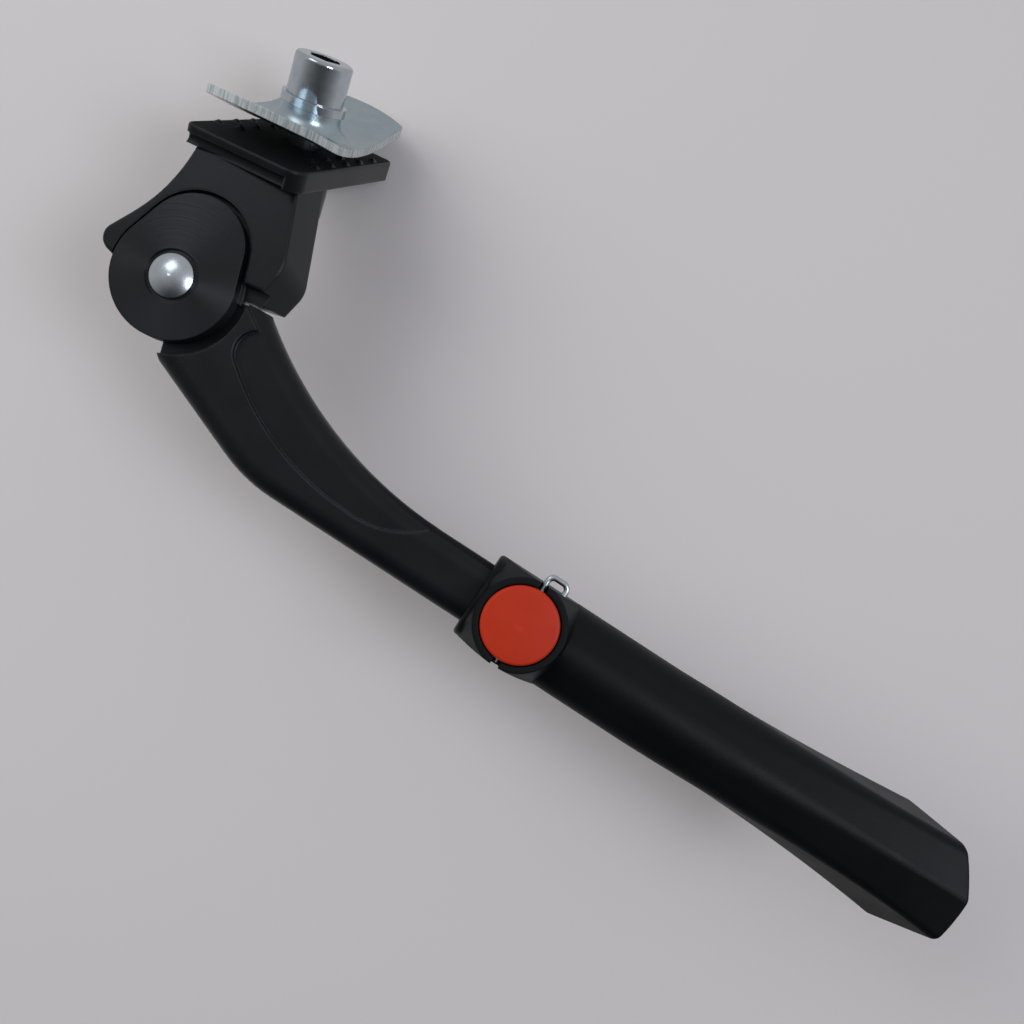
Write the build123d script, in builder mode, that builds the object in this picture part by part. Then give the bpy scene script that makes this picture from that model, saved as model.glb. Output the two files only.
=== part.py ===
from build123d import *
from math import cos, degrees, radians, sin, sqrt
import os

# Adjustable kickstand for a bicycle, folded along the chainstay.
# Origin: where the clamp bolt's axis meets the top of the frame plate.
# +X points to the rear wheel, -Y to the outer side, +Z up along the bolt.
# Sizes in millimetres, angles in degrees.

os.makedirs("parts", exist_ok=True)

# Clearances
PIN_FIT = 0.05
SLIDE_GAP = 0.2
TURN_GAP = 0.4
STOP_GAP = 0.5

# Frame plate of the bracket
PLATE_X = 34.4
PLATE_Y = 58.4
PLATE_T = 5.6
PLATE_CENTRE = (-1.2, -0.6)
PLATE_CORNER = 2.5
PLATE_EASE = 0.7
HEEL_CORNER = 5.0
LIP_T = 2.3
COVE_R = 1.8
COVE_IN = 1.4
COVE_STOP = 4.0
TOOTH = 2.2
TOOTH_HEIGHT = 0.9
TOOTH_PITCH = 8.8
TOOTH_INSET = 2.1
TOOTH_ROW_GAP = 4.0
TOOTH_TAPER = 45.0

# Clamp bolt and what it clamps
BOLT_D = 10.0
BOLT_LENGTH = 40.0
HEAD_D = 16.0
HEAD_HEIGHT = 10.9
HEX_ACROSS = 8.0
HEX_DEPTH = 5.5
HEAD_EASE = 1.0
BOLT_LEAD = 1.2
WASHER_T = 2.3
WASHER_D = 18.1
WASHER_SPLIT = 2.2
WASHER_TURN = 110.0
CLAMP_X = 33.0
CLAMP_R = 31.8
CLAMP_T = 2.2
CLAMP_CORNER = 3.0
TROUGH_LIFT = 3.1
TROUGH_R = 58.0
TROUGH_HALF = 15.0
COLLAR_TOP = 10.6
COLLAR_R = 8.4
COLLAR_FLARE = 4.0
BOSS_D = 20.0
BOSS_DEPTH = 18.0
RIB_T = 12.0

# Pivot: the plane of the leg's swing leans out at the top and toes out at the rear
LEAN = 26.5
TOE = 8.4
PIVOT = (-4.4, -41.8, -35.7)
SWING = 96.0

# Hinge housing, in layers behind its front face
HOUSING_T = 13.4
FRONT_WALL = 4.0
TONGUE_T = 5.6
SLOT_T = TONGUE_T + 2 * SLIDE_GAP
REAR_WALL = HOUSING_T - FRONT_WALL - SLOT_T
NECK_TOP = 44.0
NECK_SHOULDER = 9.0
NECK_LEFT = -8.3
NECK_WAIST = (-11.1, 23.0)
EAR_TOP = (-17.6, 11.2)
EAR_CORNER = (-24.3, 2.3)
EAR_FOOT = (-16.6, -1.0)
EAR_ROUND = 4.0
FLANK_TOP = (14.1, 0.0, -6.6)
FLANK_RAKE = 18.0
FLANK_ROUND = 9.0
PRONG_FOOT = 5.7
FINGER_SIDE = (25.2, 13.2)
FINGER_TURN = 20.6
FINGER_RAKE = 20.9
CHEEK_R = 15.5
EDGE_EASE = 0.8
EASE_TOP = 31.0

# Egg-shaped cover over the pivot and the spring above it
DISC_R = 16.6
LOBE_R = 13.6
LOBE_RISE = 9.7
LOBE_TILT = 9.0
COVER_GAP = 1.3
COVER_RIM = 1.0
COVER_CROWN = 2.9
COVER_KEY_T = 1.3
COVER_KEY_FROM = 3.0
RIVET_SEAT_R = 7.0
RIVET_SEAT = 0.6

# Pivot rivet
RIVET_D = 8.0
RIVET_HEAD_D = 11.6
RIVET_HEAD = 2.5
TAIL_D = 11.0
TAIL_T = 1.8
TAIL_WASHER_D = 15.0
TAIL_WASHER_T = 1.2

# Cam knuckle of the leg, and the sprung plunger that rides on it
KNUCKLE_R = 10.0
KNUCKLE_FLAT = 9.5
PLUNGER_W = 10.0
PLUNGER_T = 4.2
PLUNGER_SPIGOT_D = 2.6
PLUNGER_SPIGOT = 2.0
POCKET_ROOF = 21.8
SPRING_D = 5.2
SPRING_WIRE = 0.9
SPRING_TURNS = 3.5

# Leg arm: x runs along its bar, y to the upper side, from the pivot
BAR_DIP = 10.0
BAR_DROP = 26.35
BAR_W = 17.4
BAR_END = 196.0
LEG_T = 12.6
LEG_SET_BACK = 0.8
LEG_ROUND = 5.2
SHOULDER_R = 19.8
SHOULDER_TOP = 14.6
SHOULDER_HEEL = -73.5
WEB_INSET = 1.0
WEB_LAP = 0.2
WEB_BULGE = 8.0
ARM_TOP = (24.6, 5.6)
ARM_UPPER_END = 94.0
ARM_HEEL = (6.9, -20.9)
ARM_ELBOW = 42.6
ARM_ELBOW_R = 45.0
SCOOP_D = 1.8
SCOOP_RIDGE = (17.0, 5.7)
SCOOP_START = (25.3, 0.4)
SCOOP_TURN = (22.2, -4.4)
SCOOP_SHOULDER = (25.4, -10.6)
SCOOP_MID = (47.2, -22.8)
SCOOP_LOW = (70.0, -26.8)
SCOOP_RISE = (83.5, -24.6)
SCOOP_END = (94.0, -16.0)
SCOOP_ROLL = 5.2

# Foot sleeve
RIM_AT = 111.0
FLARE_AT = 165.0
FLARE_START_AT = 195.0
FLARE_MID_AT = 226.0
FOOT_AT = 266.0
BORE_SPARE = 6.0
BORE_END = BAR_END + BORE_SPARE
BORE_GAP = 0.25
TUBE_FRONT = 13.0
TUBE_SIDE = 12.2
TUBE_SHOULDER = 6.6
TUBE_ROUND = 9.0
TUBE_SECTION = (
    (0, TUBE_FRONT),
    (TUBE_SIDE, TUBE_SHOULDER),
    (-TUBE_SIDE, TUBE_SHOULDER),
    (TUBE_SIDE, -TUBE_SHOULDER),
    (-TUBE_SIDE, -TUBE_SHOULDER),
    (0, -TUBE_FRONT),
)
START_SECTION = ((0.6, 13.0), (12.8, 7.2), (-10.2, 8.2), (12.9, -7.2), (-13.1, -7.2), (0, -13.3))
START_ROUND = 8.0
FLARE_SECTION = ((2.0, 12.7), (13.2, 8.6), (-8.8, 9.2), (15.2, -10.4), (-15.0, -9.8), (0, -15.0))
FLARE_ROUND = 4.5
FOOT_SECTION = ((3.0, 11.5), (15.5, 8.5), (-10.8, 8.5), (19.0, -17.0), (-20.4, -16.5), (0, -18.6))
FOOT_ROUND = 4.2
RIM_EASE = 1.0
STAY_SLOPE = 4.0
SOLE_AT = 254.3
SOLE_R = 60.0

# Button, its boss, wire clip and lock plate
BUTTON_AT = 124.5
BUTTON_R = 10.3
BUTTON_TRAVEL = 2.0
BUTTON_GAP = 0.3
BUTTON_TOP = 8.0
BUTTON_DOME = 0.5
BUTTON_CAP = 2.0
BUTTON_EDGE = 0.8
BUTTON_SKIRT = 2.0
BUTTON_FOOT = 1.4
BOSS_TOP = 7.0
BOSS_R = 12.3
BOSS_DRAFT = 22.0
WIRE_D = 1.6
WIRE_AT = 3.2
WIRE_SLOT = 2.4
CLIP_PITCH = 5.5
CLIP_OUT = 14.9
CLIP_IN = -11.6
CLIP_TAIL = 10.4
CLIP_BEND = 1.6
PLATE_LOCK_T = 2.0
LOCK_SHIFT = 4.5
LOCK_W = 21.4
LOCK_HALF = 8.9
LOCK_TAB_TOP = 1.0

# Working planes of the swing
lean_c = cos(radians(LEAN))
lean_s = sin(radians(LEAN))
toe_c = cos(radians(TOE))
toe_s = sin(radians(TOE))
outward = Vector(toe_s * lean_c, -toe_c * lean_c, lean_s)
rearward = Vector(toe_c, toe_s, 0)
pivot_axis = Axis(PIVOT, outward)
swing_plane = Plane(origin=PIVOT, x_dir=rearward, z_dir=outward)


def dipped_plane(dip):
    """Plane of the swing, turned about the pivot so that its x axis dips at the rear."""
    return Plane(
        origin=PIVOT,
        x_dir=rearward * cos(radians(dip)) - swing_plane.y_dir * sin(radians(dip)),
        z_dir=outward,
    )


lobe_plane = dipped_plane(LOBE_TILT)
leg_plane = dipped_plane(BAR_DIP)
turning_plane = Plane(origin=PIVOT, x_dir=rearward, z_dir=rearward.cross(outward))
flank_plane = Plane(origin=FLANK_TOP, z_dir=(cos(radians(FLANK_RAKE)), 0, sin(radians(FLANK_RAKE))))
finger_plane = Plane(
    origin=swing_plane.from_local_coords((*FINGER_SIDE, 0)),
    z_dir=rearward * (cos(radians(FINGER_TURN)) * cos(radians(FINGER_RAKE)))
    - swing_plane.y_dir * (sin(radians(FINGER_TURN)) * cos(radians(FINGER_RAKE)))
    + outward * sin(radians(FINGER_RAKE)),
)
stop_angle = SHOULDER_TOP - BAR_DIP + degrees(STOP_GAP / SHOULDER_R)
slot_floor = FRONT_WALL + SLOT_T
bar_middle = -LEG_SET_BACK - LEG_T / 2
lock_at = BUTTON_AT - LOCK_SHIFT


def polar(radius, angle):
    return (radius * cos(radians(angle)), radius * sin(radians(angle)))


def bar_station(along):
    """Plane square to the leg's bar: x to the upper side, y outward."""
    origin = leg_plane.from_local_coords((along, -BAR_DROP, bar_middle))
    return Plane(origin=origin, x_dir=leg_plane.y_dir, z_dir=leg_plane.x_dir)


def housing_outline(*lower_edge):
    """Outline of one layer of the hinge housing: shared waist and ear, with its own lower edge."""
    with BuildLine() as outline:
        waist = ThreePointArc((NECK_LEFT, NECK_TOP - NECK_SHOULDER), NECK_WAIST, EAR_TOP)
        FilletPolyline(EAR_TOP, EAR_CORNER, EAR_FOOT, radius=EAR_ROUND)
        Polyline(EAR_FOOT, *lower_edge, (NECK_TOP, NECK_TOP), (NECK_LEFT, NECK_TOP), waist @ 0)
    return outline.edges()


def egg_arcs(grow=0.0):
    """The two circles whose hull is the pivot cover's outline, grown all round."""
    with BuildLine() as arcs:
        CenterArc((0, 0), DISC_R + grow, 0, 360)
        CenterArc((0, LOBE_RISE), LOBE_R + grow, 0, 360)
    return arcs.edges()


def foot_outline(front, front_upper, front_lower, back_upper, back_lower, back, round_by):
    """Six-sided section of the foot with rounded corners."""
    with BuildSketch() as section:
        with BuildLine():
            Polyline(front, front_upper, back_upper, back, back_lower, front_lower, close=True)
        make_face()
        fillet(section.vertices(), round_by)
    return section.edges()


def on_plane(edge, plane):
    """True where an edge lies in a plane."""
    return all(abs(plane.to_local_coords(edge @ part).Z) < PIN_FIT for part in (0, 0.5, 1))


def in_plane(plane):
    """Filter for the edges that lie in a plane."""
    return lambda edge: on_plane(edge, plane)


def below_scoop(edge):
    """True for an edge along the lower side of the leg."""
    middle = leg_plane.to_local_coords(edge @ 0.5)
    return middle.Y < SCOOP_LOW[1] or middle.X < SCOOP_SHOULDER[0]


def within_arch(edge):
    """True for an edge of the recess that the pivot cover sits in."""
    middle = lobe_plane.to_local_coords(edge @ 0.5)
    past_disc = Vector(middle.X, middle.Y).length - DISC_R
    past_lobe = Vector(middle.X, middle.Y - LOBE_RISE).length - LOBE_R
    return min(past_disc, past_lobe) < 2 * COVER_GAP


# Frame bracket
with BuildPart() as bracket:
    with BuildSketch(swing_plane.offset(-HOUSING_T)):
        make_face(housing_outline(polar(CHEEK_R, stop_angle), polar(NECK_TOP, stop_angle)))
        Circle(CHEEK_R)
    extrude(amount=REAR_WALL)
    with BuildSketch(swing_plane.offset(-slot_floor)):
        make_face(housing_outline(polar(CHEEK_R, stop_angle), polar(NECK_TOP, stop_angle)))
        Circle(KNUCKLE_R + TURN_GAP, mode=Mode.SUBTRACT)
        with BuildLine():
            Polyline(
                (0, 0),
                polar(NECK_TOP, stop_angle),
                (NECK_TOP, -NECK_TOP),
                (-NECK_TOP, -NECK_TOP),
                polar(NECK_TOP, SHOULDER_HEEL - BAR_DIP - SWING),
                close=True,
            )
        make_face(mode=Mode.SUBTRACT)
    extrude(amount=SLOT_T)
    with BuildSketch(lobe_plane.offset(-slot_floor)):
        with Locations((0, POCKET_ROOF / 2)):
            Rectangle(PLUNGER_W + 2 * SLIDE_GAP, POCKET_ROOF)
    extrude(amount=SLOT_T, mode=Mode.SUBTRACT)
    with BuildSketch(swing_plane.offset(-FRONT_WALL)):
        make_face(housing_outline((DISC_R, PRONG_FOOT), (NECK_TOP, PRONG_FOOT)))
    extrude(amount=FRONT_WALL)
    with BuildSketch(lobe_plane.offset(-FRONT_WALL)):
        make_hull(egg_arcs(COVER_GAP))
    extrude(amount=FRONT_WALL + SLIDE_GAP, mode=Mode.SUBTRACT)
    split(bisect_by=flank_plane, keep=Keep.BOTTOM)
    split(bisect_by=finger_plane, keep=Keep.BOTTOM)
    split(bisect_by=Plane.XY.offset(-PLATE_T / 2), keep=Keep.BOTTOM)
    with BuildSketch(swing_plane.offset(-HOUSING_T)):
        Circle(RIVET_D / 2 + PIN_FIT)
    extrude(amount=HOUSING_T, mode=Mode.SUBTRACT)
    # Boss for the bolt, with the rib that ties it to the neck
    with BuildSketch(Plane.XY.offset(-PLATE_T / 2)):
        Circle(BOSS_D / 2)
    extrude(amount=-BOSS_DEPTH + PLATE_T / 2)
    with BuildSketch(Plane.XY.offset(-PLATE_T / 2)):
        with Locations((0, -BOSS_D / 2)):
            Rectangle(RIB_T, BOSS_D)
    extrude(amount=-BOSS_DEPTH + PLATE_T / 2 + 2)
    # Frame plate with its lip, and the teeth that bite on the frame
    with BuildSketch() as plate_outline:
        with Locations(PLATE_CENTRE):
            Rectangle(PLATE_X, PLATE_Y)
        outer_rear = plate_outline.vertices().group_by(Axis.Y)[0].sort_by(Axis.X)[-1]
        fillet(plate_outline.vertices() - [outer_rear], PLATE_CORNER)
        outer_rear = plate_outline.vertices().sort_by_distance((PLATE_X, -PLATE_Y))[0]
        fillet(outer_rear, HEEL_CORNER)
    extrude(amount=-PLATE_T)
    fillet(bracket.edges().filter_by_position(Axis.Z, -SLIDE_GAP, SLIDE_GAP), PLATE_EASE)
    plate_rear = PLATE_CENTRE[0] + PLATE_X / 2
    plate_outer = PLATE_CENTRE[1] - PLATE_Y / 2
    with BuildSketch(Plane.YZ.offset(plate_rear - COVE_STOP)):
        with Locations((plate_outer + COVE_IN, -LIP_T - COVE_R)):
            Circle(COVE_R)
            with Locations((-PLATE_T, 0)):
                Rectangle(2 * PLATE_T, 2 * COVE_R)
    extrude(amount=-2 * PLATE_X, mode=Mode.SUBTRACT)
    fold = [edge for edge in bracket.edges() if on_plane(edge, flank_plane) and on_plane(edge, finger_plane)]
    fillet(fold, FLANK_ROUND)
    rim = [edge for edge in bracket.edges() if on_plane(edge, swing_plane) and not within_arch(edge)]
    fillet([edge for edge in rim if swing_plane.to_local_coords(edge @ 0.5).Y < EASE_TOP], EDGE_EASE)
    for side in (-1, 1):
        row_x = PLATE_CENTRE[0] + side * (PLATE_X / 2 - TOOTH_INSET)
        with BuildSketch():
            with Locations((row_x, 0)):
                with GridLocations(0, TOOTH_PITCH, 1, 5):
                    Rectangle(TOOTH, TOOTH)
            with Locations((row_x - side * TOOTH_ROW_GAP, 0)):
                with GridLocations(0, TOOTH_PITCH, 1, 4):
                    Rectangle(TOOTH, TOOTH)
        extrude(amount=TOOTH_HEIGHT, taper=TOOTH_TAPER)
    with BuildSketch(Plane.XY.offset(-BOSS_DEPTH)):
        Circle(BOLT_D / 2 + PIN_FIT)
    extrude(amount=BOSS_DEPTH, mode=Mode.SUBTRACT)
bracket.part.label = "bracket"
export_step(bracket.part, "parts/bracket.step")

# Egg-shaped pivot cover: a shallow cone, keyed in the arch of the housing
with BuildPart() as pivot_cover:
    with BuildSketch(turning_plane):
        with BuildLine():
            Polyline(
                (RIVET_D / 2 + PIN_FIT, -FRONT_WALL),
                (DISC_R + LOBE_RISE, -FRONT_WALL),
                (DISC_R + LOBE_RISE, COVER_RIM),
                (RIVET_SEAT_R, COVER_CROWN),
                (RIVET_SEAT_R, COVER_CROWN - RIVET_SEAT),
                (RIVET_D / 2 + PIN_FIT, COVER_CROWN - RIVET_SEAT),
                close=True,
            )
        make_face()
    revolve(axis=pivot_axis)
    with BuildSketch(lobe_plane.offset(-FRONT_WALL)):
        make_hull(egg_arcs())
    extrude(amount=FRONT_WALL + 2 * COVER_CROWN, mode=Mode.INTERSECT)
    with BuildSketch(lobe_plane.offset(-FRONT_WALL)):
        make_hull(egg_arcs(COVER_GAP - SLIDE_GAP / 2))
        with Locations((0, COVER_KEY_FROM - DISC_R)):
            Rectangle(4 * DISC_R, 2 * DISC_R, mode=Mode.SUBTRACT)
        Circle(RIVET_SEAT_R, mode=Mode.SUBTRACT)
    extrude(amount=COVER_KEY_T)
pivot_cover.part.label = "pivot_cover"
export_step(pivot_cover.part, "parts/pivot_cover.step")

# Pivot rivet with its domed head, and the washer under its tail
rivet_seat_at = COVER_CROWN - RIVET_SEAT
with BuildPart() as pivot_rivet:
    with BuildSketch(turning_plane):
        with BuildLine():
            shank = Polyline(
                (0, -HOUSING_T - TAIL_WASHER_T - TAIL_T),
                (TAIL_D / 2, -HOUSING_T - TAIL_WASHER_T - TAIL_T),
                (TAIL_D / 2, -HOUSING_T - TAIL_WASHER_T),
                (RIVET_D / 2, -HOUSING_T - TAIL_WASHER_T),
                (RIVET_D / 2, rivet_seat_at),
                (RIVET_HEAD_D / 2, rivet_seat_at),
                (RIVET_HEAD_D / 2, rivet_seat_at + RIVET_HEAD / 3),
            )
            dome = TangentArc((0, rivet_seat_at + RIVET_HEAD), shank @ 1, tangent=(1, 0))
            Line(dome @ 0, shank @ 0)
        make_face()
    revolve(axis=pivot_axis)
pivot_rivet.part.label = "pivot_rivet"
export_step(pivot_rivet.part, "parts/pivot_rivet.step")

with BuildPart() as rivet_washer:
    with BuildSketch(swing_plane.offset(-HOUSING_T - TAIL_WASHER_T)):
        Circle(TAIL_WASHER_D / 2)
        Circle(RIVET_D / 2 + PIN_FIT, mode=Mode.SUBTRACT)
    extrude(amount=TAIL_WASHER_T)
rivet_washer.part.label = "rivet_washer"
export_step(rivet_washer.part, "parts/rivet_washer.step")

# Plunger and coil spring above the cam knuckle, under the cover's lobe
plunger_foot = KNUCKLE_R + TURN_GAP
tongue_middle = -FRONT_WALL - SLOT_T / 2
with BuildPart() as cam_plunger:
    with BuildSketch(lobe_plane.offset(tongue_middle - TONGUE_T / 2)):
        with Locations((0, plunger_foot + PLUNGER_T / 2)):
            Rectangle(PLUNGER_W, PLUNGER_T)
    extrude(amount=TONGUE_T)
    spigot_seat = lobe_plane.from_local_coords((0, plunger_foot + PLUNGER_T, tongue_middle))
    with BuildSketch(Plane(origin=spigot_seat, x_dir=lobe_plane.x_dir, z_dir=lobe_plane.y_dir)):
        Circle(PLUNGER_SPIGOT_D / 2)
    extrude(amount=PLUNGER_SPIGOT)
cam_plunger.part.label = "cam_plunger"
export_step(cam_plunger.part, "parts/cam_plunger.step")

coil_room = POCKET_ROOF - plunger_foot - PLUNGER_T - SPRING_WIRE - SLIDE_GAP
coil_start = spigot_seat + lobe_plane.y_dir * (SPRING_WIRE + SLIDE_GAP) / 2
with BuildPart() as plunger_spring:
    with BuildLine():
        coil = Helix(
            pitch=coil_room / SPRING_TURNS,
            height=coil_room,
            radius=(SPRING_D - SPRING_WIRE) / 2,
            center=coil_start,
            direction=lobe_plane.y_dir,
        )
    with BuildSketch(Plane(origin=coil @ 0, x_dir=(coil @ 0) - coil_start, z_dir=coil % 0)):
        Rectangle(SPRING_WIRE, SPRING_WIRE)
    sweep(is_frenet=True)
plunger_spring.part.label = "plunger_spring"
export_step(plunger_spring.part, "parts/plunger_spring.step")

# Leg arm: shoulder, scoop and the bar that runs into the foot, then the cam knuckle
leg_front = leg_plane.offset(-LEG_SET_BACK)
leg_back = leg_plane.offset(-LEG_SET_BACK - LEG_T)
scoop_floor = leg_plane.offset(-LEG_SET_BACK - SCOOP_D)
bar_upper = -BAR_DROP + BAR_W / 2
bar_lower = -BAR_DROP - BAR_W / 2
with BuildPart() as leg_arm:
    with BuildSketch(leg_plane.offset(-LEG_SET_BACK - LEG_T)):
        with BuildLine():
            shoulder = CenterArc((0, 0), SHOULDER_R, SHOULDER_HEEL, SHOULDER_TOP - SHOULDER_HEEL)
            TangentArc((ARM_UPPER_END, bar_upper), ARM_TOP, tangent=(-1, 0))
            Line(shoulder @ 1, ARM_TOP)
            Polyline((ARM_UPPER_END, bar_upper), (BAR_END, bar_upper), (BAR_END, bar_lower))
            FilletPolyline((BAR_END, bar_lower), (ARM_ELBOW, bar_lower), ARM_HEEL, radius=ARM_ELBOW_R)
            Line(ARM_HEEL, shoulder @ 0)
        make_face()
    extrude(amount=LEG_T)
    with BuildSketch(leg_plane.offset(-LEG_SET_BACK - SCOOP_D)):
        with BuildLine():
            crook = ThreePointArc(SCOOP_START, SCOOP_TURN, SCOOP_SHOULDER)
            wall = ThreePointArc(SCOOP_SHOULDER, SCOOP_MID, SCOOP_LOW)
            rise = ThreePointArc(SCOOP_LOW, SCOOP_RISE, SCOOP_END)
            Polyline(
                SCOOP_END,
                (SCOOP_END[0], SHOULDER_R),
                (SCOOP_RIDGE[0], SHOULDER_R),
                SCOOP_RIDGE,
                SCOOP_START,
            )
        make_face()
    extrude(amount=2 * SCOOP_D, mode=Mode.SUBTRACT)
    fillet(leg_arm.edges().filter_by(in_plane(scoop_floor)).sort_by(Edge.length)[-1], SCOOP_ROLL)
    with BuildSketch(bar_station(SCOOP_RISE[0])):
        with Locations((BAR_W / 2, LEG_T / 2)):
            Rectangle(2 * LEG_ROUND, 2 * LEG_ROUND)
        with Locations((BAR_W / 2 - LEG_ROUND, LEG_T / 2 - LEG_ROUND)):
            Circle(LEG_ROUND, mode=Mode.SUBTRACT)
    extrude(amount=BAR_END, mode=Mode.SUBTRACT)
    with BuildSketch(leg_plane.offset(tongue_middle - TONGUE_T / 2)):
        Circle(KNUCKLE_R)
        with BuildLine():
            Polyline(
                (0, 0),
                polar(SHOULDER_R + WEB_LAP, SHOULDER_TOP - WEB_INSET),
                polar(SHOULDER_R + WEB_BULGE, (SHOULDER_TOP + SHOULDER_HEEL) / 2),
                polar(SHOULDER_R + WEB_LAP, SHOULDER_HEEL + WEB_INSET),
                close=True,
            )
        make_face()
        for flat in (0, SWING):
            with Locations(polar(KNUCKLE_FLAT + KNUCKLE_R / 2, 90 - LOBE_TILT + BAR_DIP + flat)):
                with Locations(Rotation(0, 0, 90 - LOBE_TILT + BAR_DIP + flat)):
                    Rectangle(KNUCKLE_R, KNUCKLE_R, mode=Mode.SUBTRACT)
    extrude(amount=TONGUE_T)
    with BuildSketch(leg_plane.offset(tongue_middle - TONGUE_T / 2)):
        Circle(RIVET_D / 2 + PIN_FIT)
    extrude(amount=TONGUE_T, mode=Mode.SUBTRACT)
    outer_edges = leg_arm.edges().filter_by(lambda edge: edge.length > ARM_ELBOW_R / 3)
    outer_edges = outer_edges.filter_by(lambda edge: leg_plane.to_local_coords(edge @ 0.5).X > SHOULDER_R)
    back_edges = outer_edges.filter_by(in_plane(leg_back))
    lower_edges = outer_edges.filter_by(in_plane(leg_front)).filter_by(below_scoop)
    side_edges = [edge for edge in back_edges + lower_edges if not on_plane(edge, bar_station(BAR_END))]
    fillet(side_edges, LEG_ROUND)
leg_arm.part.label = "leg_arm"
export_step(leg_arm.part, "parts/leg_arm.step")

# Foot sleeve
ground_turn = radians(SWING - STAY_SLOPE)
sole_normal = (
    swing_plane.x_dir * (sin(ground_turn) * lean_c)
    - swing_plane.y_dir * (cos(ground_turn) * lean_c)
    - swing_plane.z_dir * lean_s
)
sole_plane = Plane(
    origin=leg_plane.from_local_coords((SOLE_AT, -BAR_DROP, bar_middle)),
    x_dir=leg_plane.y_dir,
    z_dir=sole_normal,
)
crown_plane = Plane(
    origin=sole_plane.origin - sole_plane.z_dir * SOLE_R,
    x_dir=sole_plane.x_dir,
    z_dir=sole_plane.x_dir.cross(sole_plane.z_dir),
)
rim_plane = bar_station(RIM_AT)
button_plane = Plane(
    origin=leg_plane.from_local_coords((BUTTON_AT, -BAR_DROP, 0)), x_dir=leg_plane.x_dir, z_dir=outward
)
upper_side = Plane(
    origin=leg_plane.from_local_coords((BUTTON_AT, -BAR_DROP + TUBE_SIDE, 0)),
    x_dir=leg_plane.x_dir,
    z_dir=leg_plane.y_dir,
)
lower_side = Plane(
    origin=leg_plane.from_local_coords((BUTTON_AT, -BAR_DROP - TUBE_SIDE, 0)),
    x_dir=leg_plane.x_dir,
    z_dir=-leg_plane.y_dir,
)
with BuildPart() as foot_sleeve:
    with BuildSketch(button_plane.offset(BOSS_TOP)):
        Circle(BOSS_R)
    extrude(amount=-BOSS_TOP + bar_middle, taper=-BOSS_DRAFT)
    split(bisect_by=rim_plane.offset(RIM_EASE + SLIDE_GAP), keep=Keep.TOP)
    split(bisect_by=upper_side, keep=Keep.BOTTOM)
    split(bisect_by=lower_side, keep=Keep.BOTTOM)
    with BuildSketch(rim_plane):
        make_face(foot_outline(*TUBE_SECTION, TUBE_ROUND))
    extrude(amount=FLARE_AT - RIM_AT)
    fillet(foot_sleeve.edges().filter_by(in_plane(rim_plane)), RIM_EASE)
    with BuildSketch(bar_station(FLARE_AT)):
        make_face(foot_outline(*TUBE_SECTION, TUBE_ROUND))
    with BuildSketch(bar_station(FLARE_START_AT)):
        make_face(foot_outline(*START_SECTION, START_ROUND))
    with BuildSketch(bar_station(FLARE_MID_AT)):
        make_face(foot_outline(*FLARE_SECTION, FLARE_ROUND))
    with BuildSketch(bar_station(FOOT_AT)):
        make_face(foot_outline(*FOOT_SECTION, FOOT_ROUND))
    loft()
    with BuildSketch(crown_plane):
        with Locations((0, SOLE_R)):
            Rectangle(5 * TUBE_SIDE, SOLE_R)
        Circle(SOLE_R, mode=Mode.SUBTRACT)
    extrude(amount=5 * TUBE_SIDE, both=True, mode=Mode.SUBTRACT)
    # Bore for the bar, well for the button, slot for the lock plate, notches and hole for the wire
    with BuildSketch(rim_plane):
        RectangleRounded(BAR_W + 2 * BORE_GAP, LEG_T + 2 * BORE_GAP, LEG_ROUND)
    extrude(amount=BORE_END - RIM_AT, mode=Mode.SUBTRACT)
    with BuildSketch(button_plane.offset(bar_middle + LEG_T / 2)):
        Circle(BUTTON_R + BUTTON_GAP)
    extrude(amount=2 * BOSS_TOP, mode=Mode.SUBTRACT)
    with BuildSketch(bar_station(lock_at - PLATE_LOCK_T / 2 - SLIDE_GAP)):
        RectangleRounded(LOCK_W + 2 * SLIDE_GAP, 2 * LOCK_HALF + 2 * SLIDE_GAP, LEG_ROUND + 2)
    extrude(amount=PLATE_LOCK_T + 2 * SLIDE_GAP, mode=Mode.SUBTRACT)
    with BuildSketch(button_plane.offset(WIRE_AT - WIRE_D / 2 - SLIDE_GAP)):
        Rectangle(WIRE_SLOT, 4 * TUBE_SIDE)
    extrude(amount=BOSS_TOP, mode=Mode.SUBTRACT)
    with BuildSketch(upper_side):
        with Locations((CLIP_PITCH, -WIRE_AT)):
            Circle(WIRE_D / 2 + PIN_FIT)
    extrude(amount=-(TUBE_SIDE - CLIP_TAIL) - SLIDE_GAP, mode=Mode.SUBTRACT)
foot_sleeve.part.label = "foot_sleeve"
export_step(foot_sleeve.part, "parts/foot_sleeve.step")

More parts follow.
